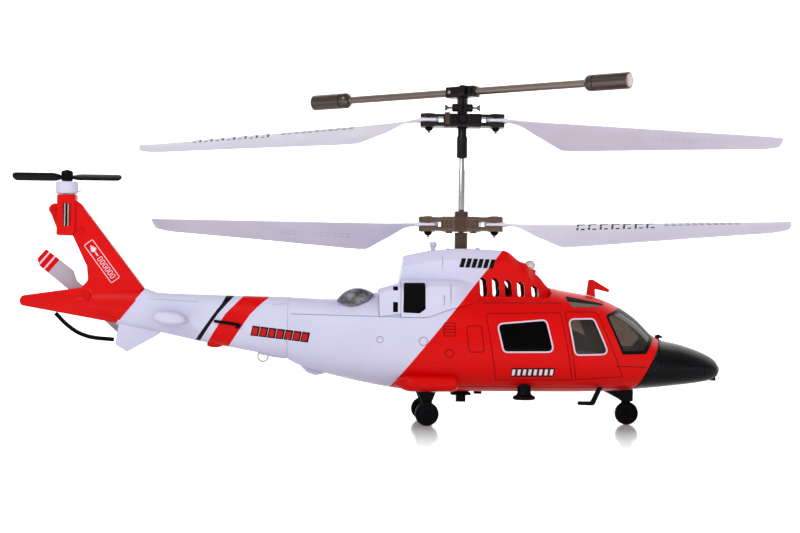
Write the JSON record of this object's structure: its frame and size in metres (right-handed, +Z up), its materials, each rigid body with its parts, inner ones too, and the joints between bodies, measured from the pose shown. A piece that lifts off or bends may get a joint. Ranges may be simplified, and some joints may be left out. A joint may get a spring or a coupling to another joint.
{
  "type": "remote control helicopter",
  "caption": "Small coaxial remote control helicopter: contra-rotating folding blades, stabiliser bar, tail propeller and wheeled landing gear on a moulded body.",
  "frame": {"origin": "on the ground under the middle of the whole model, with the three wheels standing on z = 0", "axes": "+X towards the nose, +Z up along the mast, the port side is +Y"},
  "size_m": [0.2269, 0.0674, 0.0997],
  "materials": {
    "red_gloss": "glossy painted plastic, with the white rear part painted",
    "white_gloss": "glossy cool white plastic",
    "black_gloss": "glossy black plastic",
    "black_matt": "matt black plastic",
    "smoke": "smoked translucent plastic",
    "clear": "clear plastic",
    "blade_white": "satin flexible plastic",
    "steel": "bright drawn steel",
    "brass": "machined brass",
    "gear_white": "natural nylon",
    "flybar_metal": "dark bronze-brown satin metal",
    "wheel_black": "black rubber-like plastic",
    "battery_wrap": "shrink film",
    "board": "green circuit board"
  },
  "bodies": {
    "airframe": {"fuselage_right": "red_gloss", "fuselage_left": "red_gloss", "engine_cowling": "white_gloss", "nose_cone": "black_gloss", "tail_boom": "white_gloss", "tail_fin_right": "red_gloss", "tail_fin_left": "red_gloss", "stabiliser_right": "white_gloss", "stabiliser_left": "white_gloss", "tail_hoop": "black_matt", "tail_motor": "steel", "tail_motor_cap": "white_gloss", "cabin_window_right": "smoke", "cabin_window_left": "smoke", "door_window_right": "smoke", "door_window_left": "smoke", "roof_window_right": "smoke", "roof_window_left": "smoke", "windscreen": "smoke", "exhaust_right": "smoke", "exhaust_left": "smoke", "intake_right": "black_matt", "intake_left": "black_matt", "dome_lamp": "clear", "wire_cutter": "red_gloss", "boarding_step": "black_gloss", "belly_lamp": "black_gloss", "main_frame": "black_matt", "shaft_bearing": "steel", "front_motor": "steel", "rear_motor": "steel", "battery": "battery_wrap", "circuit_board": "board", "switch_body": "black_matt", "charge_socket": "black_matt", "main_strut_right": "black_gloss", "main_strut_left": "black_gloss", "nose_strut": "black_gloss"},
    "upper_rotor": {"inner_shaft": "steel", "inner_shaft_gear": "gear_white", "rotor_head": "black_gloss"},
    "lower_rotor": {"outer_shaft": "smoke", "outer_shaft_gear": "gear_white", "lower_hub": "smoke"},
    "rear_drive": {"rear_pinion": "brass"},
    "front_drive": {"front_pinion": "brass"},
    "stabiliser_bar": {"flybar": "flybar_metal"},
    "blade_grip": {"upper_grip": "black_gloss"},
    "right_link": {"link_right": "black_gloss"},
    "left_link": {"link_left": "black_gloss"},
    "upper_front": {"upper_blade_front": "blade_white"},
    "upper_rear": {"upper_blade_rear": "blade_white"},
    "lower_front": {"lower_blade_front": "blade_white"},
    "lower_rear": {"lower_blade_rear": "blade_white"},
    "tail_prop": {"tail_propeller": "black_gloss"},
    "side_prop": {"side_rotor": "white_gloss"},
    "front_wheel": {"nose_wheel": "wheel_black"},
    "right_wheel": {"main_wheel_right": "wheel_black"},
    "left_wheel": {"main_wheel_left": "wheel_black"},
    "power_slider": {"switch_knob": "black_matt"}
  },
  "joints": [
    {"name": "upper_rotor_spin", "type": "hinge", "parent": "airframe", "child": "upper_rotor", "pos_m": [0.0185, 0, 0.089], "axis": [0, 0, 1], "continuous": true},
    {"name": "lower_rotor_spin", "type": "hinge", "parent": "airframe", "child": "lower_rotor", "pos_m": [0.0185, 0, 0.0583], "axis": [0, 0, 1], "continuous": true},
    {"name": "rear_pinion_spin", "type": "hinge", "parent": "airframe", "child": "rear_drive", "pos_m": [0.0049, 0, 0.0162], "axis": [0, 0, 1], "continuous": true},
    {"name": "front_pinion_spin", "type": "hinge", "parent": "airframe", "child": "front_drive", "pos_m": [0.0321, 0, 0.0196], "axis": [0, 0, 1], "continuous": true},
    {"name": "flybar_tilt", "type": "hinge", "parent": "upper_rotor", "child": "stabiliser_bar", "pos_m": [0.0185, 0, 0.0975], "axis": [0.5878, 0.809, 0], "range_deg": [-15, 15]},
    {"name": "grip_rock", "type": "hinge", "parent": "upper_rotor", "child": "blade_grip", "pos_m": [0.0185, 0, 0.0891], "axis": [0.9994, -0.0349, 0], "range_deg": [-8.2, 8.2]},
    {"name": "right_link_lift", "type": "slide", "parent": "upper_rotor", "child": "right_link", "axis": [0, 0, 1], "range_m": [-0.0006, 0.0006]},
    {"name": "left_link_lift", "type": "slide", "parent": "upper_rotor", "child": "left_link", "axis": [0, 0, 1], "range_m": [-0.0006, 0.0006]},
    {"name": "upper_front_fold", "type": "hinge", "parent": "blade_grip", "child": "upper_front", "pos_m": [0.02834, -0.00034, 0.0891], "axis": [0, 0, 1], "range_deg": [-30, 30]},
    {"name": "upper_rear_fold", "type": "hinge", "parent": "blade_grip", "child": "upper_rear", "pos_m": [0.00866, 0.00034, 0.0891], "axis": [0, 0, 1], "range_deg": [-30, 30]},
    {"name": "lower_front_fold", "type": "hinge", "parent": "lower_rotor", "child": "lower_front", "pos_m": [0.02817, -0.00188, 0.0583], "axis": [0, 0, 1], "range_deg": [-45, 45]},
    {"name": "lower_rear_fold", "type": "hinge", "parent": "lower_rotor", "child": "lower_rear", "pos_m": [0.00883, 0.00188, 0.0583], "axis": [0, 0, 1], "range_deg": [-45, 45]},
    {"name": "tail_prop_spin", "type": "hinge", "parent": "airframe", "child": "tail_prop", "pos_m": [-0.0973, 0, 0.0716], "axis": [0, 0, 1], "continuous": true},
    {"name": "side_rotor_spin", "type": "hinge", "parent": "airframe", "child": "side_prop", "pos_m": [-0.0905, 0.0047, 0.0354], "axis": [0, 1, 0], "continuous": true},
    {"name": "nose_wheel_roll", "type": "hinge", "parent": "airframe", "child": "front_wheel", "pos_m": [0.0679, 0, 0.00336], "axis": [0, 1, 0], "continuous": true},
    {"name": "right_wheel_roll", "type": "hinge", "parent": "airframe", "child": "right_wheel", "pos_m": [0.0083, -0.0146, 0.00336], "axis": [0, 1, 0], "continuous": true},
    {"name": "left_wheel_roll", "type": "hinge", "parent": "airframe", "child": "left_wheel", "pos_m": [0.0083, 0.0146, 0.00336], "axis": [0, 1, 0], "continuous": true},
    {"name": "power_switch", "type": "slide", "parent": "airframe", "child": "power_slider", "axis": [0, 1, 0], "range_m": [0, 0.002]}
  ],
  "couplings": [
    {"joint": "rear_pinion_spin", "follows": "upper_rotor_spin", "ratio": -4},
    {"joint": "front_pinion_spin", "follows": "lower_rotor_spin", "ratio": -4},
    {"joint": "grip_rock", "follows": "flybar_tilt", "ratio": 0.537},
    {"joint": "right_link_lift", "follows": "flybar_tilt", "m_per_rad": -0.0021},
    {"joint": "left_link_lift", "follows": "flybar_tilt", "m_per_rad": 0.0021}
  ]
}
